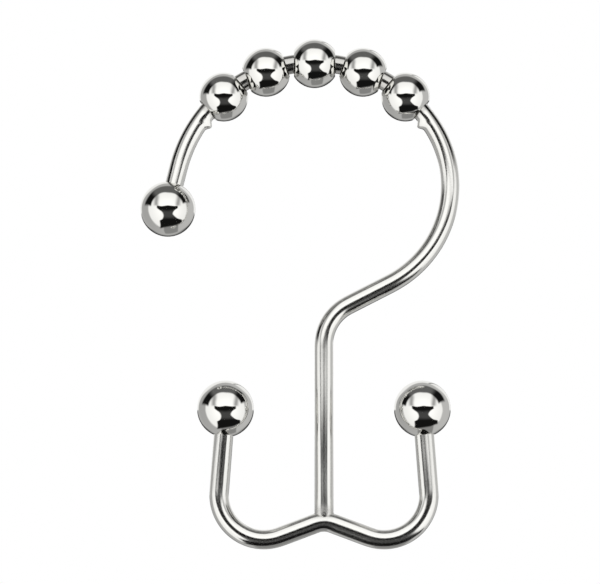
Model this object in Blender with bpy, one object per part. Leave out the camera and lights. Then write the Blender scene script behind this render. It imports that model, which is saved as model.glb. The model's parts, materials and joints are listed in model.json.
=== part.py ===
"""Double roller shower curtain hook, in polished plated steel wire.

A hanger wire loops over the curtain rod and carries five loose roller balls
on its top arc, so the hook rolls along the rod. A second wire, bent to a W, is
welded across the foot of the hanger and gives two curtain hooks, back to back.
A ball closes each free wire end. The hook lies in the XZ plane, its front
looks along -Y, and the origin is where the rod bears under the middle roller.
"""

from math import asin, atan, atan2, ceil, cos, pi, radians, sin, sqrt

import bmesh
import bpy

# Hanger wire, from the middle of its top arc outwards
HANGER_WIRE_DIAMETER = 0.0031
ROLLER_ARC_RADIUS = 0.0231
TAIL_SWEEP = radians(19.0)
TAIL_LENGTH = 0.0072
SIDE_RADIUS = 0.0184
SLOPE_FALL = radians(27.2)
SLOPE_LENGTH = 0.0078
NECK_RADIUS = 0.0072
SHANK_LENGTH = 0.0275

# Stop ears, pinched up on the inner side of the hanger wire
EAR_HEIGHT = 0.0006
EAR_LENGTH = 0.0022
EAR_PINCH = 0.3

# Roller balls
ROLLER_COUNT = 5
ROLLER_DIAMETER = 0.0081
ROLLER_SPACING = 0.00005
ROLLER_RUNNING_CLEARANCE = 0.00025
ROLLER_END_PLAY = 0.0004
ROLLER_EDGE_BREAK = 0.00015

# Double hook wire, from its middle outwards
DOUBLE_WIRE_DIAMETER = 0.0032
CREST_RADIUS = 0.0040
CREST_FALL = radians(20.5)
CREST_LENGTH = 0.0062
TROUGH_RADIUS = 0.0073
ARM_LEAN = radians(4.2)
ARM_LENGTH = 0.0135

# End balls, drilled to their middle for the wire
TIP_BALL_DIAMETER = 0.0091
HOOK_BALL_DIAMETER = 0.0093
SOCKET_CLEARANCE = 0.0002
SOCKET_FLOOR_GAP = 0.0003

# Weld between the shank and the double hook wire
WELD_GAP = 0.0003
WELD_SADDLE = 0.00035

# Faceting
WIRE_SIDES = 20
BALL_SIDES = 24
BALL_STEPS = 14
WIRE_STEP = radians(6.5)
EAR_STEPS = 6
SMOOTH_ANGLE = radians(40.0)
MERGE_DISTANCE = 1e-7

# Plated steel finish
PLATING_COLOUR = (0.80, 0.79, 0.77, 1.0)
BALL_ROUGHNESS = 0.07
WIRE_ROUGHNESS = 0.12


def roller_sag():
    """How far the curved wire strays from straight inside one roller."""
    return ROLLER_DIAMETER ** 2 / (8 * ROLLER_ARC_RADIUS)


def roller_bore():
    """Bore that lets a straight hole turn freely on the curved wire."""
    return HANGER_WIRE_DIAMETER + roller_sag() + 2 * ROLLER_RUNNING_CLEARANCE


def roller_circle_radius():
    """Circle of the roller centres: half the sag inside the wire's arc."""
    return ROLLER_ARC_RADIUS - roller_sag() / 2


def arc_centre_z():
    """Height of the top arc's centre, with the rod seat at zero."""
    return ROLLER_DIAMETER / 2 - roller_circle_radius()


def roller_pitch():
    """Angle between neighbouring rollers, seen from the arc's centre."""
    return 2 * asin((ROLLER_DIAMETER + ROLLER_SPACING) / (2 * roller_circle_radius()))


def rollers_half_sweep():
    """Angle from the middle of the arc to the inner rim of the last roller."""
    half_length = sqrt(ROLLER_DIAMETER ** 2 - roller_bore() ** 2) / 2
    rim = atan(half_length / (roller_circle_radius() - roller_bore() / 2))
    return (ROLLER_COUNT - 1) / 2 * roller_pitch() + rim


class Route:
    """A bent wire's centre line in the XZ plane, as straights and bends.

    Each station is (x, z, heading, ear): the heading is the angle from +X
    towards +Z, and ear is how far the wire bulges to the heading's right.
    """

    def __init__(self, x, z, heading):
        self.stations = [(x, z, heading, 0.0)]

    def straight(self, length):
        """Go on along the heading."""
        x, z, heading, _ = self.stations[-1]
        self.stations.append((x + length * cos(heading), z + length * sin(heading), heading, 0.0))

    def bend(self, radius, turn, steps=0, ear=0.0):
        """Turn left by a positive angle or right by a negative one, on a radius."""
        steps = steps or max(2, ceil(abs(turn) / WIRE_STEP))
        x, z, heading, _ = self.stations[-1]
        side = 1 if turn > 0 else -1
        centre_x = x - side * radius * sin(heading)
        centre_z = z + side * radius * cos(heading)
        for step in range(1, steps + 1):
            part = step / steps
            angle = heading + turn * part
            bulge = ear * sin(pi * part) ** 2
            self.stations.append(
                (centre_x + side * radius * sin(angle), centre_z - side * radius * cos(angle), angle, bulge))

    def backwards(self):
        """The same stations from end to start, with the headings turned round."""
        return [(x, z, heading + pi, ear) for x, z, heading, ear in reversed(self.stations)]


def top_arc_half(side):
    """Top arc from its middle past the rollers and the stop ear; side is 1 for +X."""
    heading = 0.0 if side > 0 else pi
    route = Route(0.0, arc_centre_z() + ROLLER_ARC_RADIUS, heading)
    to_ear = rollers_half_sweep() + ROLLER_END_PLAY / (ROLLER_ARC_RADIUS - HANGER_WIRE_DIAMETER / 2)
    route.bend(ROLLER_ARC_RADIUS, -side * to_ear)
    route.bend(ROLLER_ARC_RADIUS, -side * EAR_LENGTH / ROLLER_ARC_RADIUS, steps=EAR_STEPS, ear=EAR_HEIGHT)
    return route


def tail_route():
    """Left half of the hanger, down to the middle of the tip ball."""
    route = top_arc_half(-1)
    route.bend(ROLLER_ARC_RADIUS, TAIL_SWEEP)
    route.straight(TAIL_LENGTH)
    return route


def shank_route():
    """Right half of the hanger: side bend, slope, neck and shank, to the weld."""
    route = top_arc_half(1)
    slope_heading = SLOPE_FALL - pi
    route.bend(SIDE_RADIUS, slope_heading - route.stations[-1][2])
    route.straight(SLOPE_LENGTH)
    route.bend(NECK_RADIUS, -pi / 2 - slope_heading)
    route.straight(SHANK_LENGTH)
    return route


def crest_point():
    """Top of the double hook wire's centre line, under the end of the shank."""
    x, z, _, _ = shank_route().stations[-1]
    return x, z + WELD_SADDLE - WELD_GAP - DOUBLE_WIRE_DIAMETER / 2


def arm_route(side):
    """Half of the double hook wire, to the middle of its ball; side is 1 for +X."""
    heading = 0.0 if side > 0 else pi
    route = Route(*crest_point(), heading)
    route.bend(CREST_RADIUS, -side * CREST_FALL)
    route.straight(CREST_LENGTH)
    route.bend(TROUGH_RADIUS, side * (CREST_FALL + pi / 2 + ARM_LEAN))
    route.straight(ARM_LENGTH)
    return route


def wire_ring(station, radius):
    """Points round the wire at one station, pinched and bulged where an ear is."""
    x, z, heading, ear = station
    pinch = EAR_PINCH * ear / EAR_HEIGHT
    ring = []
    for corner in range(WIRE_SIDES):
        angle = 2 * pi * corner / WIRE_SIDES
        inward = max(cos(angle), 0.0)
        across = radius * cos(angle) + ear * inward
        depth = radius * sin(angle) * (1 - pinch * inward)
        ring.append((x + across * sin(heading), depth, z - across * cos(heading)))
    return ring


def wire_mesh(name, stations, diameter):
    """Closed tube of the given diameter through the stations."""
    mesh = bmesh.new()
    rings = [[mesh.verts.new(point) for point in wire_ring(station, diameter / 2)] for station in stations]
    mesh.faces.new(rings[0])
    mesh.faces.new(rings[-1])
    for ring, following in zip(rings, rings[1:]):
        for corner in range(WIRE_SIDES):
            beside = (corner + 1) % WIRE_SIDES
            mesh.faces.new((ring[corner], ring[beside], following[beside], following[corner]))
    return finished_mesh(name, mesh)


def turned_mesh(name, profile, closed):
    """Solid turned round local Z from (radius, height) points; a closed profile leaves a bore."""
    mesh = bmesh.new()
    points = [mesh.verts.new((radius, 0.0, height)) for radius, height in profile]
    edges = [mesh.edges.new(pair) for pair in zip(points, points[1:])]
    if closed:
        edges.append(mesh.edges.new((points[-1], points[0])))
    bmesh.ops.spin(mesh, geom=points + edges, cent=(0, 0, 0), axis=(0, 0, 1),
                   angle=2 * pi, steps=BALL_SIDES, use_merge=True)
    bmesh.ops.remove_doubles(mesh, verts=mesh.verts, dist=MERGE_DISTANCE)
    return finished_mesh(name, mesh)


def finished_mesh(name, mesh):
    """Mesh data with outward faces and smooth shading, sharp at its edges."""
    bmesh.ops.recalc_face_normals(mesh, faces=mesh.faces)
    data = bpy.data.meshes.new(name)
    mesh.to_mesh(data)
    mesh.free()
    data.shade_smooth()
    data.set_sharp_from_angle(angle=SMOOTH_ANGLE)
    return data


def plated_steel(name, roughness):
    """Bright plated steel for one piece."""
    material = bpy.data.materials.new(name)
    material.use_nodes = True
    shader = material.node_tree.nodes["Principled BSDF"]
    shader.inputs["Base Color"].default_value = PLATING_COLOUR
    shader.inputs["Metallic"].default_value = 1.0
    shader.inputs["Roughness"].default_value = roughness
    return material


def add_piece(name, data, roughness, place, parent):
    """Object for one physical piece, placed by (x, z, turn about Y)."""
    x, z, turn = place
    piece = bpy.data.objects.new(name, data)
    piece.location = (x, 0.0, z)
    piece.rotation_euler = (0.0, turn, 0.0)
    piece.parent = parent
    data.materials.append(plated_steel(name + "_plating", roughness))
    bpy.context.scene.collection.objects.link(piece)
    return piece


def roller_profile():
    """Drilled ball: sphere arc between its rims, broken edges and the bore wall."""
    radius = ROLLER_DIAMETER / 2
    bore = roller_bore() / 2
    rim = bore + ROLLER_EDGE_BREAK
    start = asin(rim / radius)
    profile = []
    for step in range(BALL_STEPS - 1):
        angle = start + (pi - 2 * start) * step / (BALL_STEPS - 2)
        profile.append((radius * sin(angle), radius * cos(angle)))
    bore_end = radius * cos(start) - ROLLER_EDGE_BREAK
    return profile + [(bore, -bore_end), (bore, bore_end)]


def end_ball_profile(diameter, wire_diameter):
    """Ball with a blind socket for the wire, open towards local +Z."""
    radius = diameter / 2
    socket = wire_diameter / 2 + SOCKET_CLEARANCE
    start = asin(socket / radius)
    profile = [(0.0, -SOCKET_FLOOR_GAP), (socket, -SOCKET_FLOOR_GAP)]
    for step in range(BALL_STEPS + 1):
        angle = start + (pi - start) * step / BALL_STEPS
        profile.append((radius * sin(angle) if step < BALL_STEPS else 0.0, radius * cos(angle)))
    return profile


def add_rollers(parent):
    """Loose roller balls, side by side on the top arc, numbered from the tail."""
    for number in range(ROLLER_COUNT):
        angle = pi / 2 + ((ROLLER_COUNT - 1) / 2 - number) * roller_pitch()
        x = roller_circle_radius() * cos(angle)
        z = arc_centre_z() + roller_circle_radius() * sin(angle)
        name = f"roller_ball_{number + 1}"
        data = turned_mesh(name, roller_profile(), closed=True)
        add_piece(name, data, BALL_ROUGHNESS, (x, z, pi - angle), parent)


def add_end_ball(name, route, diameter, wire_diameter, parent):
    """Ball fixed on the free end of a wire, with its socket along the wire."""
    x, z, heading, _ = route.stations[-1]
    data = turned_mesh(name, end_ball_profile(diameter, wire_diameter), closed=False)
    back_along_wire = atan2(-cos(heading), -sin(heading))
    add_piece(name, data, BALL_ROUGHNESS, (x, z, back_along_wire), parent)


def add_double_hook_wire(parent):
    """W wire: crest in the middle, a trough each side and two upright arms."""
    stations = arm_route(-1).backwards() + arm_route(1).stations[1:]
    data = wire_mesh("double_hook_wire", stations, DOUBLE_WIRE_DIAMETER)
    add_piece("double_hook_wire", data, WIRE_ROUGHNESS, (0.0, 0.0, 0.0), parent)
    return stations


def add_hanger_wire(double_hook_stations, parent):
    """Hanger wire, its foot saddled over the double hook wire where they are welded."""
    stations = tail_route().backwards() + shank_route().stations[1:]
    data = wire_mesh("hanger_wire", stations, HANGER_WIRE_DIAMETER)
    hanger = add_piece("hanger_wire", data, WIRE_ROUGHNESS, (0.0, 0.0, 0.0), parent)
    seat_data = wire_mesh("weld_seat_cutter", double_hook_stations, DOUBLE_WIRE_DIAMETER + 2 * WELD_GAP)
    cutter = bpy.data.objects.new("weld_seat_cutter", seat_data)
    cutter.hide_render = True
    cutter.display_type = "WIRE"
    bpy.context.scene.collection.objects.link(cutter)
    saddle = hanger.modifiers.new("weld_saddle", "BOOLEAN")
    saddle.operation = "DIFFERENCE"
    saddle.object = cutter


def build():
    """Clear the scene and model the hook."""
    for old in list(bpy.data.objects):
        bpy.data.objects.remove(old)
    hook = bpy.data.objects.new("hook", None)
    bpy.context.scene.collection.objects.link(hook)
    double_hook_stations = add_double_hook_wire(hook)
    add_hanger_wire(double_hook_stations, hook)
    add_rollers(hook)
    add_end_ball("tip_ball", tail_route(), TIP_BALL_DIAMETER, HANGER_WIRE_DIAMETER, hook)
    add_end_ball("hook_ball_left", arm_route(-1), HOOK_BALL_DIAMETER, DOUBLE_WIRE_DIAMETER, hook)
    add_end_ball("hook_ball_right", arm_route(1), HOOK_BALL_DIAMETER, DOUBLE_WIRE_DIAMETER, hook)


build()
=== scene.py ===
"""Double roller shower curtain hook in bright plated steel, photographed on white.

Two bent wires are welded together, five drilled balls turn on the upper one and a
ball closes each free wire end. Everything is in metres, in the frame of the CAD.
"""

import json
from math import asin, atan, cos, pi, radians, sin, sqrt

import bpy
import numpy as np
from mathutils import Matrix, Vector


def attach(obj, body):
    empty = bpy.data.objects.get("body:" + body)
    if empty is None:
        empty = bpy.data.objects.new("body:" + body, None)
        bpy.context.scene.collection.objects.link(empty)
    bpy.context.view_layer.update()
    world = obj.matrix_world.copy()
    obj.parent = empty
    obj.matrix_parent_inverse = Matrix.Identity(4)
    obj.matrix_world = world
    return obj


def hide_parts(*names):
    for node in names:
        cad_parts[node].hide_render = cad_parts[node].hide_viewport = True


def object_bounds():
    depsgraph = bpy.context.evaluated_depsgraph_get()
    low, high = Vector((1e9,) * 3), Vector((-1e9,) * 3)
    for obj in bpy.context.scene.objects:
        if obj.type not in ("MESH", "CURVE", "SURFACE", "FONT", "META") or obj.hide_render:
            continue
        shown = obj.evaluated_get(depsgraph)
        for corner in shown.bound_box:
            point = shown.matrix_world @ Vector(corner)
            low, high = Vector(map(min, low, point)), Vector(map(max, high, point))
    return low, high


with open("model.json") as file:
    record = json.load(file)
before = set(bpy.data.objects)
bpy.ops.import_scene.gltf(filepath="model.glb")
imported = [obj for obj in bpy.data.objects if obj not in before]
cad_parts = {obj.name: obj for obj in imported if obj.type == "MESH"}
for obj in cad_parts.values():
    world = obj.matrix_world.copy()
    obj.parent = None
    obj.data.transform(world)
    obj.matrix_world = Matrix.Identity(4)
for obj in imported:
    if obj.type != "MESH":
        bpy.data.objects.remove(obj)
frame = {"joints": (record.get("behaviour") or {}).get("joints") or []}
cad_low, cad_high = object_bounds()


# Camera. The hook is seen from the front through a long lens, as in the photograph, and fills most of the
# frame. Its top leans away from the lens a little, so the camera looks up at it.
LENS = 180.0
SENSOR = 36.0
NEAREST_SEEN = 0.01
SEEN_WIDTH = 0.0985
LOOK_UP = radians(6.8)
middle = (cad_low + cad_high) / 2
distance = SEEN_WIDTH * LENS / SENSOR

camera_lens = bpy.data.cameras.new("front_camera")
camera_lens.lens = LENS
camera_lens.sensor_width = SENSOR
camera_lens.clip_start = NEAREST_SEEN
camera = bpy.data.objects.new("front_camera", camera_lens)
camera.location = (middle.x, -distance * cos(LOOK_UP), middle.z - distance * sin(LOOK_UP))
camera.rotation_euler = (pi / 2 + LOOK_UP, 0.0, 0.0)
bpy.context.scene.collection.objects.link(camera)
bpy.context.scene.camera = camera
bpy.context.scene.view_settings.view_transform = "Standard"


# Studio. A white room: polished metal shows bright panels in front of the hook with a dark stand before them,
# a dark rim over them and the grey of the walls round about. Behind the hook are two windows over a dark
# bench. Places in the room are given on the disc of a mirror ball that hangs where the hook is.
SOFT, CRISP = 0.03, 0.01
WARP, WARP_SCALE = 0.07, 1.8
WALL_LEFT, WALL_RIGHT, WALL_REACH = 0.45, 0.60, 0.9
PANEL_REACH, PANEL_FOOT, PANEL_FOOT_RISE = 0.70, -0.60, 0.28
PANEL_LIGHT, PANEL_SHADE, PANEL_MIDDLE, PANEL_EDGE = 1.32, 1.10, 0.2, 0.7
SEAM_PLACE, SEAM_HALF, SEAM_LIGHT = 0.40, 0.15, 0.43
SEAM_FOOT, SEAM_FULL = 0.06, 0.16
RIM_INNER, RIM_OUTER = 0.60, 0.83
RIM_FROM, RIM_TO, RIM_FADE = radians(19.0), radians(170.0), 0.08
RIM_MIDDLE, RIM_GREY_HALF, RIM_BLACK_HALF = radians(95.0), radians(28.0), radians(46.0)
RIM_GREY, RIM_BLACK = 0.14, 0.008
STAND_WAIST, STAND_WAIST_HALF, STAND_SPREAD, STAND_HALF = -0.19, 0.175, 4.4, 0.39
STAND_TOP, STAND_FOOT, STAND_TILT = 0.108, -0.64, 0.22
STAND_SHIFT, STAND_SHIFT_START, STAND_SHIFT_END = 0.12, -0.15, -0.42
STAND_GREY, STAND_GREY_HALF, STAND_BLACK, STAND_BLACK_HALF = 0.07, 0.06, 0.008, 0.20
SHADE_HALF, SHADE_LIGHT = 0.25, 0.28
WINDOW_HALF, WINDOW_SILL, WINDOW_HEAD, WINDOW_LIGHT = 0.34, -0.03, 0.38, 1.02
POST_PLACE, POST_HALF, POST_LIGHT = 0.12, 0.016, 0.30
BENCH_HALF, BENCH_SOFT, BENCH_FOOT, BENCH_FULL, BENCH_LIGHT = 0.24, 0.05, -0.40, -0.16, 0.03
BACK_FROM, BACK_TO = 0.50, 0.72
FLOOR_DROP, FLOOR_HALF = 0.025, 3.0
FLOOR_WHITE, FLOOR_SEEN = 0.93, 1.02


def number(tree, operation, *values):
    """One Math node on numbers or sockets."""
    node = tree.nodes.new("ShaderNodeMath")
    node.operation = operation
    for socket, value in zip(node.inputs, values):
        if isinstance(value, (int, float)):
            socket.default_value = value
        else:
            tree.links.new(value, socket)
    return node.outputs[0]


def all_of(tree, mask, *others):
    """Mask that is 1 where every one of the masks is: their product."""
    for other in others:
        mask = number(tree, "MULTIPLY", mask, other)
    return mask


def away(tree, value, place):
    """Distance of a value from a place, the same to both sides."""
    return number(tree, "ABSOLUTE", number(tree, "SUBTRACT", value, place))


def eased(tree, value, start, end, low=0.0, high=1.0):
    """Smooth step: low up to start, high from end on, whichever of the two is larger."""
    node = tree.nodes.new("ShaderNodeMapRange")
    node.interpolation_type = "SMOOTHSTEP"
    for name, amount in (("From Min", start), ("From Max", end), ("To Min", low), ("To Max", high)):
        node.inputs[name].default_value = amount
    tree.links.new(value, node.inputs["Value"])
    return node.outputs["Result"]


def over(tree, value, edge, soft=SOFT):
    """Mask that is 1 over an edge and 0 under it."""
    return eased(tree, value, edge - soft, edge + soft)


def under(tree, value, edge, soft=SOFT):
    """Mask that is 1 under an edge and 0 over it."""
    return eased(tree, value, edge + soft, edge - soft)


def covered(tree, below, mask, tone):
    """Tone laid over what is below it, where the mask is 1."""
    node = tree.nodes.new("ShaderNodeMix")
    for socket, value in zip(node.inputs[:4], (mask, None, below, tone)):
        if isinstance(value, (int, float)):
            socket.default_value = value
        elif value is not None:
            tree.links.new(value, socket)
    return node.outputs[0]


def ball_disc(tree, towards, facing):
    """Where a mirror ball seen from the front or the back shows a direction, as (across, up) on its disc of
    radius 1. The ball's normal is half way between the direction and the way back to the viewer.
    """
    half = tree.nodes.new("ShaderNodeVectorMath")
    half.operation = "ADD"
    tree.links.new(towards, half.inputs[0])
    half.inputs[1].default_value = (0.0, facing, 0.0)
    normal = tree.nodes.new("ShaderNodeVectorMath")
    normal.operation = "NORMALIZE"
    tree.links.new(half.outputs[0], normal.inputs[0])
    split = tree.nodes.new("ShaderNodeSeparateXYZ")
    tree.links.new(normal.outputs[0], split.inputs[0])
    return split.outputs["X"], split.outputs["Z"]


def wall_light(tree, across):
    """Brightness of the walls, which grows from the left to the right."""
    return eased(tree, across, -WALL_REACH, WALL_REACH, WALL_LEFT, WALL_RIGHT)


def front_light(tree, across, up):
    """Brightness of the front half of the room, by its place on the ball's disc."""
    reach = number(tree, "SQRT", number(tree, "ADD", number(tree, "MULTIPLY", across, across),
                                        number(tree, "MULTIPLY", up, up)))
    over_foot = number(tree, "MULTIPLY_ADD", across, -PANEL_FOOT_RISE, up)
    panels = all_of(tree, under(tree, reach, PANEL_REACH), over(tree, over_foot, PANEL_FOOT))
    panel_light = eased(tree, reach, PANEL_MIDDLE, PANEL_EDGE, PANEL_LIGHT, PANEL_SHADE)
    light = covered(tree, wall_light(tree, across), panels, panel_light)
    off_seam = away(tree, number(tree, "ABSOLUTE", across), SEAM_PLACE)
    seams = all_of(tree, eased(tree, off_seam, SEAM_HALF, 0.0), eased(tree, up, SEAM_FOOT, SEAM_FULL), panels)
    light = covered(tree, light, seams, SEAM_LIGHT)

    turn = number(tree, "ARCTAN2", up, across)
    rim = all_of(tree, over(tree, reach, RIM_INNER), under(tree, reach, RIM_OUTER),
                 over(tree, turn, RIM_FROM, RIM_FADE), under(tree, turn, RIM_TO, RIM_FADE))
    rim_light = eased(tree, away(tree, turn, RIM_MIDDLE), RIM_GREY_HALF, RIM_BLACK_HALF, RIM_GREY, RIM_BLACK)
    light = covered(tree, light, rim, rim_light)

    shift = eased(tree, up, STAND_SHIFT_START, STAND_SHIFT_END, 0.0, STAND_SHIFT)
    from_stand = away(tree, across, shift)
    shade = all_of(tree, under(tree, from_stand, SHADE_HALF), eased(tree, up, STAND_WAIST, STAND_FOOT))
    light = covered(tree, light, shade, SHADE_LIGHT)
    off_waist = away(tree, up, STAND_WAIST)
    half = number(tree, "MULTIPLY_ADD", number(tree, "MULTIPLY", off_waist, off_waist), STAND_SPREAD,
                  STAND_WAIST_HALF)
    past_stand = number(tree, "SUBTRACT", from_stand, number(tree, "MINIMUM", half, STAND_HALF))
    over_stand_foot = number(tree, "MULTIPLY_ADD", across, -STAND_TILT, up)
    stand = all_of(tree, under(tree, past_stand, 0.0), over(tree, over_stand_foot, STAND_FOOT),
                   under(tree, up, STAND_TOP, SOFT / 2))
    stand_light = eased(tree, off_waist, STAND_GREY_HALF, STAND_BLACK_HALF, STAND_GREY, STAND_BLACK)
    return covered(tree, light, stand, stand_light)


def back_light(tree, across, up):
    """Brightness of the back half of the room: two windows over a dark bench that fades downwards."""
    side = number(tree, "ABSOLUTE", across)
    windows = all_of(tree, under(tree, side, WINDOW_HALF), over(tree, up, WINDOW_SILL, CRISP),
                     under(tree, up, WINDOW_HEAD))
    light = covered(tree, wall_light(tree, across), windows, WINDOW_LIGHT)
    post = all_of(tree, under(tree, away(tree, across, POST_PLACE), POST_HALF, CRISP), windows)
    light = covered(tree, light, post, POST_LIGHT)
    bench = all_of(tree, under(tree, side, BENCH_HALF, BENCH_SOFT), under(tree, up, WINDOW_SILL, CRISP),
                   eased(tree, up, BENCH_FOOT, BENCH_FULL))
    return covered(tree, light, bench, BENCH_LIGHT)


room = bpy.data.worlds.new("white_studio")
room.use_nodes = True
room.cycles.sampling_method = "NONE"
bpy.context.scene.world = room
room_tree = room.node_tree
turned = room_tree.nodes.new("ShaderNodeVectorRotate")
turned.rotation_type = "X_AXIS"
turned.inputs["Angle"].default_value = -LOOK_UP
direction = room_tree.nodes.new("ShaderNodeTexCoord").outputs["Generated"]
room_tree.links.new(direction, turned.inputs["Vector"])
towards = turned.outputs[0]
unevenness = room_tree.nodes.new("ShaderNodeTexNoise")
unevenness.inputs["Scale"].default_value = WARP_SCALE
unevenness.inputs["Detail"].default_value = 0.0
room_tree.links.new(towards, unevenness.inputs["Vector"])
warp = room_tree.nodes.new("ShaderNodeSeparateColor")
room_tree.links.new(unevenness.outputs["Color"], warp.inputs[0])
front_place = [number(room_tree, "ADD", place, number(room_tree, "MULTIPLY_ADD", amount, WARP, -WARP / 2))
               for place, amount in zip(ball_disc(room_tree, towards, -1.0), warp.outputs)]
back_place = ball_disc(room_tree, towards, 1.0)
towards_split = room_tree.nodes.new("ShaderNodeSeparateXYZ")
room_tree.links.new(towards, towards_split.inputs[0])
behind = eased(room_tree, towards_split.outputs["Y"], BACK_FROM, BACK_TO)
mirrored = covered(room_tree, front_light(room_tree, *front_place), behind,
                   back_light(room_tree, *back_place))
ray = room_tree.nodes.new("ShaderNodeLightPath")
in_metal = number(room_tree, "MAXIMUM", ray.outputs["Is Glossy Ray"], ray.outputs["Is Transmission Ray"])
room_tree.links.new(covered(room_tree, 1.0, in_metal, mirrored),
                    room_tree.nodes["Background"].inputs["Strength"])
room_tree.nodes["Background"].inputs["Color"].default_value = (1.0, 1.0, 1.0, 1.0)

floor_mesh = bpy.data.meshes.new("white_floor")
floor_z = cad_low.z - FLOOR_DROP
floor_mesh.from_pydata([(-FLOOR_HALF, -FLOOR_HALF, floor_z), (FLOOR_HALF, -FLOOR_HALF, floor_z),
                        (FLOOR_HALF, FLOOR_HALF, floor_z), (-FLOOR_HALF, FLOOR_HALF, floor_z)],
                       [], [(0, 1, 2, 3)])
floor = bpy.data.objects.new("white_floor", floor_mesh)
floor.visible_glossy = False
bpy.context.scene.collection.objects.link(floor)
floor_paint = bpy.data.materials.new("white_floor")
floor_paint.use_nodes = True
floor_tree = floor_paint.node_tree
floor_shader = floor_tree.nodes["Principled BSDF"]
floor_shader.inputs["Base Color"].default_value = (FLOOR_WHITE, FLOOR_WHITE, FLOOR_WHITE, 1.0)
floor_shader.inputs["Roughness"].default_value = 1.0
floor_shader.inputs["Specular IOR Level"].default_value = 0.0
floor_shader.inputs["Emission Color"].default_value = (1.0, 1.0, 1.0, 1.0)
floor_ray = floor_tree.nodes.new("ShaderNodeLightPath")
floor_lift = number(floor_tree, "MULTIPLY", floor_ray.outputs["Is Camera Ray"], FLOOR_SEEN - FLOOR_WHITE)
floor_tree.links.new(floor_lift, floor_shader.inputs["Emission Strength"])
floor_mesh.materials.append(floor_paint)


# Hanger wire. One length of 3.1 mm hard-drawn steel wire, bent cold: tail, top arc, side bend, slope, neck
# and shank. Two stop ears are pinched up on its inner side to keep the roller balls in place. It is cut
# square at the foot, welded on the double hook wire, then plated bright with it.
HANGER_WIRE_DIAMETER = 0.0031
ROLLER_ARC_RADIUS = 0.0231
TAIL_SWEEP = radians(19.0)
TAIL_LENGTH = 0.0072
SIDE_RADIUS = 0.0184
SLOPE_FALL = radians(27.2)
SLOPE_LENGTH = 0.0078
NECK_RADIUS = 0.0072
SHANK_LENGTH = 0.0275
ROLLER_COUNT = 5
ROLLER_DIAMETER = 0.0081
ROLLER_SPACING = 0.00005
ROLLER_BORE = 0.003955
ROLLER_END_PLAY = 0.0004
EAR_HEIGHT = 0.0006
EAR_LENGTH = 0.0022
EAR_PINCH = 0.3
WIRE_SIDES = 64
WIRE_SPACING = 0.0002
BEND_BLEND = 0.0014
BEND_SAMPLES = 15
BEND_FLATTENING = 0.05
WELD_GAP = 0.0003
WELD_SADDLE = 0.00035
DOUBLE_WIRE_DIAMETER = 0.0032
CREST_RADIUS = 0.0040
FOOT_SINK = 0.00045
FOOT_ROUND = 0.00016
FOOT_FUSED = 0.55
FOOT_FILLET = 0.0003
FOOT_FILLET_SINK = 0.00003
FOOT_FILLET_STEPS = 8
FOOT_CLOSED = ((0.82, -0.0001), (0.55, 0.0006))
FOOT_CLEAR = 0.0002
FOOT_RING_STEP = 0.0001
WELD_REACH, WELD_HALF_WIDTH = 0.0009, 0.003
# Fade of the painted shade and wear over the arc of the roller balls.
RUB_AND_SHADE_FADE = 0.02
PLATING_LIGHT = (0.812, 0.807, 0.780, 1.0)
PLATING_DEEP = (0.762, 0.756, 0.725, 1.0)
# Dark colour for the weld and the drilled holes, also used as painted shade with wear over the arc of the
# roller balls.
PLATING_DULL_AND_SHADE = (0.42, 0.41, 0.39, 1.0)
DIE_LINES, DIE_LINE_HEIGHT = (5200.0, 5200.0, 60.0), 6.4e-7
UNEVEN, UNEVEN_HEIGHT = (900.0, 900.0, 140.0), 7.04e-6
WAVES, WAVE_HEIGHT = (150.0, 150.0, 40.0), 8.32e-4
WELD_GRAIN, WELD_GRAIN_HEIGHT = 4200.0, 9.6e-6
WIRE_CLOUDS = 160.0
WIRE_POLISH, WIRE_POLISH_RANGE = (0.13, 0.18), (0.3, 0.75)
# How dark the roller arc (painted shade with wear) and the weld are, and the weld's roughness.
RUBBED_DULL_AND_SHADE, WELD_DULL, WELD_ROUGHNESS = 0.6, 0.35, 0.16


def bent_line(start_heading, bends, anchor_length, anchor):
    """Centre line of a bent wire, as arrays of x, z, heading and length along it.

    The heading, from +X towards +Z, grows evenly by the turn over the length of each (length, turn) pair and
    is averaged over a short stretch, because cold wire eases into a bend. x and z are the running sums of its
    cosine and sine, moved so that the wire passes through the anchor.
    """
    lengths, turns = np.array(bends).T
    knots = np.concatenate([[0.0], np.cumsum(lengths)])
    headings = start_heading + np.concatenate([[0.0], np.cumsum(turns)])
    along = np.linspace(0.0, knots[-1], int(round(knots[-1] / WIRE_SPACING)) + 1)
    shifts = np.linspace(-BEND_BLEND / 2, BEND_BLEND / 2, BEND_SAMPLES)
    heading = np.mean([np.interp(along + shift, knots, headings) for shift in shifts], axis=0)
    steps = np.diff(along)
    mid_heading = (heading[1:] + heading[:-1]) / 2
    x = np.concatenate([[0.0], np.cumsum(steps * np.cos(mid_heading))])
    z = np.concatenate([[0.0], np.cumsum(steps * np.sin(mid_heading))])
    x += anchor[0] - np.interp(anchor_length, along, x)
    z += anchor[1] - np.interp(anchor_length, along, z)
    return x, z, heading, along


def wire_rings(line, radius, ear):
    """Rings of points round a wire: radius times the cosine of the angle towards the inner side of the arc,
    and times the sine along +Y. A tight bend flattens the ring, and an ear bulges its inner side and pinches
    its flanks.
    """
    x, z, heading, along = (column[:, None] for column in line)
    angle = np.linspace(0.0, 2 * pi, WIRE_SIDES, endpoint=False)[None, :]
    curving = np.abs(np.gradient(heading[:, 0], along[:, 0]))[:, None]
    flat = BEND_FLATTENING * radius * curving
    inward = np.maximum(np.cos(angle), 0.0)
    pinch = EAR_PINCH * ear[:, None] / EAR_HEIGHT
    across = radius * (1 - flat) * np.cos(angle) + ear[:, None] * inward
    depth = radius * (1 + flat / 2) * np.sin(angle) * (1 - pinch * inward)
    return np.stack([x + across * np.sin(heading), depth + 0 * x, z - across * np.cos(heading)], axis=-1)


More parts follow.
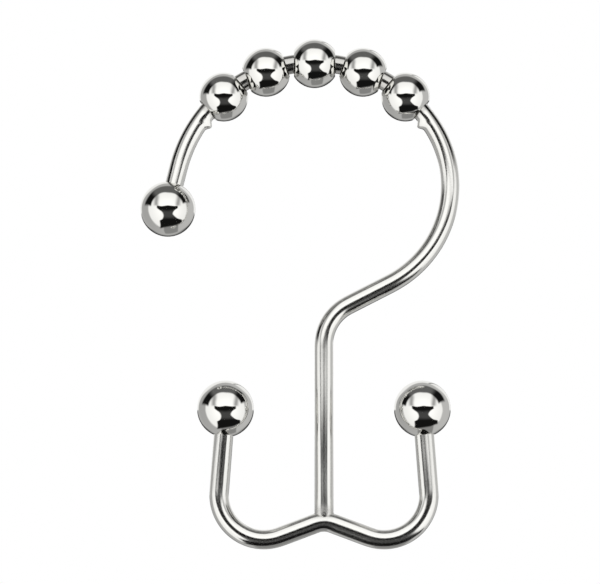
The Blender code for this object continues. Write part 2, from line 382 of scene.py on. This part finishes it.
def closed_surface(name, rings, joined=False):
    """Mesh of a closed surface from an array of rings: four-sided faces between neighbouring rings, and
    either a fan to the middle of each end ring or, where joined, faces from the last ring to the first.
    """
    count, sides = rings.shape[:2]
    ring, side = np.meshgrid(np.arange(count if joined else count - 1), np.arange(sides), indexing="ij")
    beside, following = (side + 1) % sides, (ring + 1) % count
    quads = np.stack([ring * sides + side, ring * sides + beside,
                      following * sides + beside, following * sides + side], axis=-1).reshape(-1, 4)
    points, faces = rings.reshape(-1, 3), quads.tolist()
    if not joined:
        points = np.vstack([points, rings[0].mean(axis=0), rings[-1].mean(axis=0)])
        around = np.arange(sides)
        beside = (around + 1) % sides
        first, last = count * sides, count * sides + 1
        last_ring = (count - 1) * sides
        faces += np.stack([np.full(sides, first), beside, around], axis=-1).tolist()
        faces += np.stack([np.full(sides, last), last_ring + around, last_ring + beside], axis=-1).tolist()
    mesh = bpy.data.meshes.new(name)
    mesh.from_pydata(points, [], faces)
    mesh.shade_smooth()
    return mesh


def keep_on_points(mesh, name, kind, values):
    """Named values on the points of a mesh, for its material to read. The middles of the ends take the last
    values.
    """
    spare = len(mesh.vertices) - len(values)
    values = np.concatenate([values, values[len(values) - spare:]]) if spare else values
    layer = mesh.attributes.new(name, kind, "POINT")
    layer.data.foreach_set("vector" if kind == "FLOAT_VECTOR" else "value", values.astype(np.float32).ravel())


def kept(tree, name, output="Fac"):
    """Socket that reads a piece's named values."""
    node = tree.nodes.new("ShaderNodeAttribute")
    node.attribute_name = name
    return node.outputs[output]


def noise(tree, place, scale, detail):
    """Noise of a socket's place, stretched by one or three scales."""
    mapping = tree.nodes.new("ShaderNodeMapping")
    mapping.inputs["Scale"].default_value = scale if isinstance(scale, tuple) else (scale, scale, scale)
    tree.links.new(place, mapping.inputs["Vector"])
    cloud = tree.nodes.new("ShaderNodeTexNoise")
    cloud.inputs["Scale"].default_value = 1.0
    cloud.inputs["Detail"].default_value = detail
    tree.links.new(mapping.outputs[0], cloud.inputs["Vector"])
    return cloud.outputs["Fac"]


def new_plating(name):
    """Bright plated steel before its detail: the material's tree, its shader and its object coordinates."""
    plating = bpy.data.materials.new(name)
    plating.use_nodes = True
    tree = plating.node_tree
    shader = tree.nodes["Principled BSDF"]
    shader.inputs["Metallic"].default_value = 1.0
    place = tree.nodes.new("ShaderNodeTexCoord").outputs["Object"]
    return plating, tree, shader, place


def tinted(tree, shader, factor, dull_and_shade):
    """Plating colour: light to deep by the factor, and darker by the second factor, which stands for dull
    metal and, on the wires, for painted shade as well.
    """
    blend = tree.nodes.new("ShaderNodeMix")
    blend.data_type = "RGBA"
    blend.inputs["A"].default_value = PLATING_LIGHT
    blend.inputs["B"].default_value = PLATING_DEEP
    tree.links.new(factor, blend.inputs["Factor"])
    dark = tree.nodes.new("ShaderNodeMix")
    dark.data_type = "RGBA"
    dark.inputs["B"].default_value = PLATING_DULL_AND_SHADE
    tree.links.new(dull_and_shade, dark.inputs["Factor"])
    tree.links.new(blend.outputs["Result"], dark.inputs["A"])
    tree.links.new(dark.outputs["Result"], shader.inputs["Base Color"])


def raised(tree, shader, *layers):
    """Fine relief on the plating: the sum of (pattern, height in metres) layers."""
    height = 0.0
    for pattern, most in layers:
        height = number(tree, "MULTIPLY_ADD", pattern, most, height)
    bump = tree.nodes.new("ShaderNodeBump")
    bump.inputs["Strength"].default_value = 1.0
    bump.inputs["Distance"].default_value = 1.0
    tree.links.new(height, bump.inputs["Height"])
    tree.links.new(bump.outputs[0], shader.inputs["Normal"])


def drawn_wire_plating(name):
    """Plating over drawn wire: fine die lines and slow unevenness run along it, the bending and polishing
    have left it a little wavy, and it is duller at the weld. Over the arc of the roller balls it is darker
    too, which is wear of the plating and painted shade of the balls together.
    """
    plating, tree, shader, place = new_plating(name)
    on_wire = kept(tree, "along_wire", "Vector")
    weld, rubbed_and_shaded = kept(tree, "weld"), kept(tree, "rubbed_and_shaded")
    die_lines = noise(tree, on_wire, DIE_LINES, 3.0)
    rough_weld = number(tree, "MULTIPLY", weld, noise(tree, place, WELD_GRAIN, 3.0))
    uneven, waves = noise(tree, on_wire, UNEVEN, 2.0), noise(tree, on_wire, WAVES, 1.0)
    raised(tree, shader, (rough_weld, WELD_GRAIN_HEIGHT), (die_lines, DIE_LINE_HEIGHT),
           (uneven, UNEVEN_HEIGHT), (waves, WAVE_HEIGHT))
    # Darker colour at the weld, and over the roller arc painted shade of the balls along with wear of the
    # plating.
    dull_and_shade = number(tree, "MULTIPLY_ADD", rubbed_and_shaded, RUBBED_DULL_AND_SHADE, number(tree, "MULTIPLY", weld, WELD_DULL))
    tinted(tree, shader, noise(tree, place, WIRE_CLOUDS, 3.0), dull_and_shade)
    polish = eased(tree, die_lines, *WIRE_POLISH_RANGE, *WIRE_POLISH)
    tree.links.new(number(tree, "MULTIPLY_ADD", weld, WELD_ROUGHNESS, polish), shader.inputs["Roughness"])
    return plating


# The bends in order from the middle of the tip ball to the foot. The sweep of the row of roller balls and the
# places of the ears follow from the balls' pitch on the arc.
ear_sweep = EAR_LENGTH / ROLLER_ARC_RADIUS
sag = ROLLER_DIAMETER ** 2 / (8 * ROLLER_ARC_RADIUS)
roller_circle = ROLLER_ARC_RADIUS - sag / 2
last_rim = atan(sqrt(ROLLER_DIAMETER ** 2 - ROLLER_BORE ** 2) / 2 / (roller_circle - ROLLER_BORE / 2))
pitch_sweep = asin((ROLLER_DIAMETER + ROLLER_SPACING) / (2 * roller_circle))
rollers_sweep = (ROLLER_COUNT - 1) * pitch_sweep + last_rim
to_ear = rollers_sweep + ROLLER_END_PLAY / (ROLLER_ARC_RADIUS - HANGER_WIRE_DIAMETER / 2)
to_bend = to_ear + ear_sweep
tail_sweep = to_bend + TAIL_SWEEP
side_turn = pi - SLOPE_FALL - to_bend
hanger_top = TAIL_LENGTH + tail_sweep * ROLLER_ARC_RADIUS
arc_top_z = ROLLER_DIAMETER / 2 + sag / 2
hanger_line = bent_line(tail_sweep, [
    (TAIL_LENGTH, 0.0),
    (tail_sweep * ROLLER_ARC_RADIUS, -tail_sweep),
    (to_bend * ROLLER_ARC_RADIUS, -to_bend),
    (side_turn * SIDE_RADIUS, -side_turn),
    (SLOPE_LENGTH, 0.0),
    (NECK_RADIUS * (pi / 2 - SLOPE_FALL), pi / 2 - SLOPE_FALL),
    (SHANK_LENGTH, 0.0),
], hanger_top, (0.0, arc_top_z))
off_top = np.abs(hanger_line[3] - hanger_top) / ROLLER_ARC_RADIUS
on_ear = np.clip((off_top - to_ear) / ear_sweep, 0.0, 1.0)
ears = EAR_HEIGHT * np.sin(pi * on_ear) ** 2
hanger_rings = wire_rings(hanger_line, HANGER_WIRE_DIAMETER / 2, ears)

# Foot: cut square and sunk in the crest of the double hook wire. To the sides the weld has left a small
# fillet on the crest. In front and behind, where that wire falls away, the rim is rounded and has run down a
# little. The last rings close the foot inside that wire.
foot_x, foot_z = hanger_line[0][-1], hanger_line[1][-1]
foot_radius, crest_half = HANGER_WIRE_DIAMETER / 2, DOUBLE_WIRE_DIAMETER / 2
crest_z = foot_z + WELD_SADDLE - WELD_GAP - crest_half
ring_angle = np.linspace(0.0, 2 * pi, WIRE_SIDES, endpoint=False)


def crest_surface(radius):
    """Height of the double hook wire's upper side at a radius round the shank: a circle across it, and a fall
    with the square of the distance along it.
    """
    over_centre = np.sqrt(np.maximum(crest_half ** 2 - (radius * np.sin(ring_angle)) ** 2, 0.0))
    return crest_z + over_centre - (radius * np.cos(ring_angle)) ** 2 / (2 * (CREST_RADIUS + crest_half))


def place_on_wire(along, radius):
    """Place on a straightened wire: round it in metres, and the length along it."""
    round_it = np.broadcast_to(ring_angle, (len(along), WIRE_SIDES))
    return np.stack([radius * np.cos(round_it), radius * np.sin(round_it),
                     np.broadcast_to(along[:, None], round_it.shape)], axis=-1).reshape(-1, 3)


cut_z = foot_z - FOOT_SINK
met_z = crest_surface(foot_radius)
rim_z = cut_z - FOOT_FUSED * np.maximum(cut_z - met_z, 0.0)
filleted = np.clip((met_z - cut_z) / FOOT_FILLET, 0.0, 1.0)
quarter = np.linspace(0.0, pi / 2, FOOT_FILLET_STEPS)[:, None]
foot_r = foot_radius + (filleted * FOOT_FILLET - (1 - filleted) * FOOT_ROUND) * (1 - np.cos(quarter))
foot_heights = (filleted * (crest_surface(foot_r) - FOOT_FILLET_SINK) + (1 - filleted) * rim_z
                + (filleted * FOOT_FILLET + (1 - filleted) * FOOT_ROUND) * (1 - np.sin(quarter)))
(inner_share, inner_rise), (last_share, last_rise) = FOOT_CLOSED
inside_r = np.array([[inner_share], [last_share]]) * np.full((1, WIRE_SIDES), foot_radius)
foot_r = np.vstack([foot_r, inside_r])
foot_heights = np.vstack([foot_heights, rim_z + inner_rise, np.full((1, WIRE_SIDES), crest_z + last_rise)])
foot_rings = np.stack([foot_x - foot_r * np.cos(ring_angle), foot_r * np.sin(ring_angle), foot_heights],
                      axis=-1)
over_foot = hanger_line[1] > foot_z + FOOT_CLEAR
rings = np.concatenate([hanger_rings[over_foot], foot_rings])
hanger_mesh = closed_surface("hanger_wire_drawn", rings)
foot_along = hanger_line[3][-1] + np.arange(1, len(foot_rings) + 1) * FOOT_RING_STEP
hanger_along = np.concatenate([hanger_line[3][over_foot], foot_along])
keep_on_points(hanger_mesh, "along_wire", "FLOAT_VECTOR", place_on_wire(hanger_along, foot_radius))
near_weld = (np.exp(-((rings[..., 2] - foot_z) / WELD_REACH) ** 2)
             * (np.abs(rings[..., 0] - foot_x) < WELD_HALF_WIDTH))
keep_on_points(hanger_mesh, "weld", "FLOAT", near_weld.reshape(-1))
# Painted shade with wear: the wire is darkened over the arc of the roller balls, fading out towards the ears.
rub_and_shade = np.clip((to_ear - off_top[over_foot]) / RUB_AND_SHADE_FADE, 0.0, 1.0)
rub_and_shade = np.concatenate([rub_and_shade, np.zeros(len(foot_rings))])
keep_on_points(hanger_mesh, "rubbed_and_shaded", "FLOAT", np.repeat(rub_and_shade, WIRE_SIDES))
hanger_mesh.materials.append(drawn_wire_plating("hanger_wire_plating"))
hanger_wire = bpy.data.objects.new("hanger_wire_drawn", hanger_mesh)
bpy.context.scene.collection.objects.link(hanger_wire)
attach(hanger_wire, "hook_frame")
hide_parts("hanger_wire")


# Double hook wire. A second length of wire, 3.2 mm, bent cold to a W: a crest in the middle that carries the
# weld, a trough to each side for a grommet or ring, and two arms that lean inwards a little.
CREST_FALL = radians(20.5)
CREST_LENGTH = 0.0062
TROUGH_RADIUS = 0.0073
ARM_LEAN = radians(4.2)
ARM_LENGTH = 0.0135
CREST_WELD_HALF_WIDTH, CREST_WELD_DROP, CREST_WELD_REACH = 0.0021, 0.0004, 0.0007
OWN_PATTERN = 1.0

trough_turn = CREST_FALL + pi / 2 + ARM_LEAN
arm_bends = [(ARM_LENGTH, 0.0), (trough_turn * TROUGH_RADIUS, trough_turn), (CREST_LENGTH, 0.0),
             (CREST_FALL * CREST_RADIUS, -CREST_FALL)]
arm_reach = sum(length for length, turn in arm_bends)
double_line = bent_line(-pi / 2 - ARM_LEAN, arm_bends + arm_bends[::-1], arm_reach, (foot_x, crest_z))
double_rings = wire_rings(double_line, crest_half, np.zeros_like(double_line[3]))
double_mesh = closed_surface("double_hook_wire_drawn", double_rings)
double_along = double_line[3] + OWN_PATTERN
keep_on_points(double_mesh, "along_wire", "FLOAT_VECTOR", place_on_wire(double_along, crest_half))
off_weld = np.hypot((double_rings[..., 0] - foot_x) / CREST_WELD_HALF_WIDTH,
                    (double_rings[..., 2] - foot_z + CREST_WELD_DROP) / CREST_WELD_REACH)
keep_on_points(double_mesh, "weld", "FLOAT", np.exp(-off_weld ** 2).reshape(-1))
double_mesh.materials.append(drawn_wire_plating("double_hook_wire_plating"))
double_hook_wire = bpy.data.objects.new("double_hook_wire_drawn", double_mesh)
bpy.context.scene.collection.objects.link(double_hook_wire)
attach(double_hook_wire, "hook_frame")
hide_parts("double_hook_wire")


# Roller balls. Five drilled steel balls, tumbled to a mirror and plated, loose on the arc side by side. The
# hole is straight and wide enough for the curved wire, its edges are broken, and inside it stays as drilled.
BALL_SIDES = 96
BALL_STEPS = 72
RIM_STEPS = 7
WALL_STEPS = 12
ROLLER_EDGE = 0.00015
BALL_WAVES, BALL_WAVE_HEIGHT = 330.0, 7.5e-6
BALL_MARKS, BALL_MARK_HEIGHT, DRILL_MARK_HEIGHT = 5200.0, 1.0e-7, 5.0e-6
BALL_CLOUDS, BALL_HAZE = 200.0, 700.0
BALL_POLISH, BALL_POLISH_RANGE = (0.035, 0.075), (0.35, 0.75)
HOLE_DULL, HOLE_ROUGHNESS = 0.55, 0.25


def turned_rings(centre, axis, radii, heights):
    """Rings of a turned piece: for each (radius, height) of its profile a circle round the axis, which lies
    in the XZ plane, at that height from the centre.
    """
    axis = np.array(axis) / np.linalg.norm(axis)
    outwards = np.cross((0.0, 1.0, 0.0), axis)
    angle = np.linspace(0.0, 2 * pi, BALL_SIDES, endpoint=False)
    round_it = np.cos(angle)[:, None] * outwards + np.sin(angle)[:, None] * np.array((0.0, 1.0, 0.0))
    return np.array(centre) + heights[:, None, None] * axis + radii[:, None, None] * round_it[None, :, :]


def hole_rim(hole, radius, edge):
    """Rounded rim between a ball and a hole along its axis: the angle from the axis where the sphere ends,
    and the rim's radii and heights from there to the wall of the hole. Its small circle touches sphere and
    wall from inside.
    """
    rim = asin((hole + edge) / (radius - edge))
    angle = np.linspace(pi / 2 - rim, pi, RIM_STEPS)
    return rim, hole + edge + edge * np.cos(angle), (radius - edge) * cos(rim) + edge * np.sin(angle)


def ball_plating(name):
    """Plating over a tumbled ball: a mirror with a faint wave, a haze of polishing marks and a dull hole."""
    plating, tree, shader, place = new_plating(name)
    hole = kept(tree, "in_hole")
    marks = noise(tree, place, BALL_MARKS, 4.0)
    drill_marks = number(tree, "MULTIPLY", hole, marks)
    raised(tree, shader, (drill_marks, DRILL_MARK_HEIGHT), (marks, BALL_MARK_HEIGHT),
           (noise(tree, place, BALL_WAVES, 1.0), BALL_WAVE_HEIGHT))
    tinted(tree, shader, noise(tree, place, BALL_CLOUDS, 3.0), number(tree, "MULTIPLY", hole, HOLE_DULL))
    polish = eased(tree, noise(tree, place, BALL_HAZE, 4.0), *BALL_POLISH_RANGE, *BALL_POLISH)
    tree.links.new(number(tree, "MULTIPLY_ADD", hole, HOLE_ROUGHNESS, polish), shader.inputs["Roughness"])
    return plating


roller_plating = ball_plating("roller_ball_plating")
ball_radius = ROLLER_DIAMETER / 2
hole_radius = ROLLER_BORE / 2
rim_angle, rim_radii, rim_heights = hole_rim(hole_radius, ball_radius, ROLLER_EDGE)
sphere = np.linspace(pi - rim_angle, rim_angle, BALL_STEPS)[1:-1]
wall_heights = np.linspace(rim_heights[-1], -rim_heights[-1], WALL_STEPS)[1:-1]
wall_radii = np.full_like(wall_heights, hole_radius)
into_hole = np.linspace(0.0, 1.0, RIM_STEPS)
roller_radii = np.concatenate([ball_radius * np.sin(sphere), rim_radii, wall_radii, rim_radii[::-1]])
roller_heights = np.concatenate([ball_radius * np.cos(sphere), rim_heights, wall_heights, -rim_heights[::-1]])
in_hole = np.concatenate([np.zeros_like(sphere), into_hole, np.ones_like(wall_heights), into_hole[::-1]])

for joint in frame["joints"]:
    roller = joint["child"].replace("roller_", "roller_ball_")
    roller_rings = turned_rings(joint["pos_m"], joint["axis"], roller_radii, roller_heights)
    roller_mesh = closed_surface(roller + "_polished", roller_rings, joined=True)
    keep_on_points(roller_mesh, "in_hole", "FLOAT", np.repeat(in_hole, BALL_SIDES))
    roller_mesh.materials.append(roller_plating)
    roller_ball = bpy.data.objects.new(roller + "_polished", roller_mesh)
    bpy.context.scene.collection.objects.link(roller_ball)
    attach(roller_ball, joint["child"])
    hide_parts(roller)


# End balls. Steel balls with a blind drilled socket, pressed and welded on the three free wire ends, so that
# neither cloth nor a hand meets a sharp end. Tumbled and plated like the roller balls.
TIP_BALL_DIAMETER = 0.0091
HOOK_BALL_DIAMETER = 0.0093
SOCKET_GAP = 0.00003
SOCKET_EDGE = 0.00012
SOCKET_DEPTH_SHOWN = 0.0012
CLOSING_RADIUS = 0.0001
CLOSING_ANGLE = 0.004
SOCKET_RINGS = 5

end_plating = ball_plating("end_ball_plating")


def end_ball_rings(centre, heading, diameter, wire_diameter):
    """Rings of a ball on a wire's end: from the floor of its socket out over a rounded mouth and the sphere
    to the pole, round the heading of the wire, which points into the ball. With them, whether they are in
    the socket.
    """
    radius, socket = diameter / 2, wire_diameter / 2 + SOCKET_GAP
    mouth, mouth_radii, mouth_heights = hole_rim(socket, radius, SOCKET_EDGE)
    sphere = np.linspace(mouth, pi - CLOSING_ANGLE, BALL_STEPS)[1:]
    floor_height = mouth_heights[-1] - SOCKET_DEPTH_SHOWN
    radii = np.concatenate([[CLOSING_RADIUS, socket, socket], mouth_radii[::-1], radius * np.sin(sphere)])
    heights = np.concatenate([[floor_height, floor_height, floor_height + CLOSING_RADIUS],
                              mouth_heights[::-1], radius * np.cos(sphere)])
    back = (-cos(heading), 0.0, -sin(heading))
    rings = turned_rings(centre, back, radii, heights)
    return rings[:, ::-1], np.repeat((np.arange(len(radii)) < SOCKET_RINGS) * 1.0, BALL_SIDES)


for node, line, station, turn, diameter, wire_diameter in (
        ("tip_ball", hanger_line, 0, pi, TIP_BALL_DIAMETER, HANGER_WIRE_DIAMETER),
        ("hook_ball_left", double_line, 0, pi, HOOK_BALL_DIAMETER, DOUBLE_WIRE_DIAMETER),
        ("hook_ball_right", double_line, -1, 0.0, HOOK_BALL_DIAMETER, DOUBLE_WIRE_DIAMETER)):
    centre = (line[0][station], 0.0, line[1][station])
    ball_rings, in_socket = end_ball_rings(centre, line[2][station] + turn, diameter, wire_diameter)
    ball_mesh = closed_surface(node + "_polished", ball_rings)
    keep_on_points(ball_mesh, "in_hole", "FLOAT", in_socket)
    ball_mesh.materials.append(end_plating)
    end_ball = bpy.data.objects.new(node + "_polished", ball_mesh)
    bpy.context.scene.collection.objects.link(end_ball)
    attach(end_ball, "hook_frame")
    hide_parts(node)
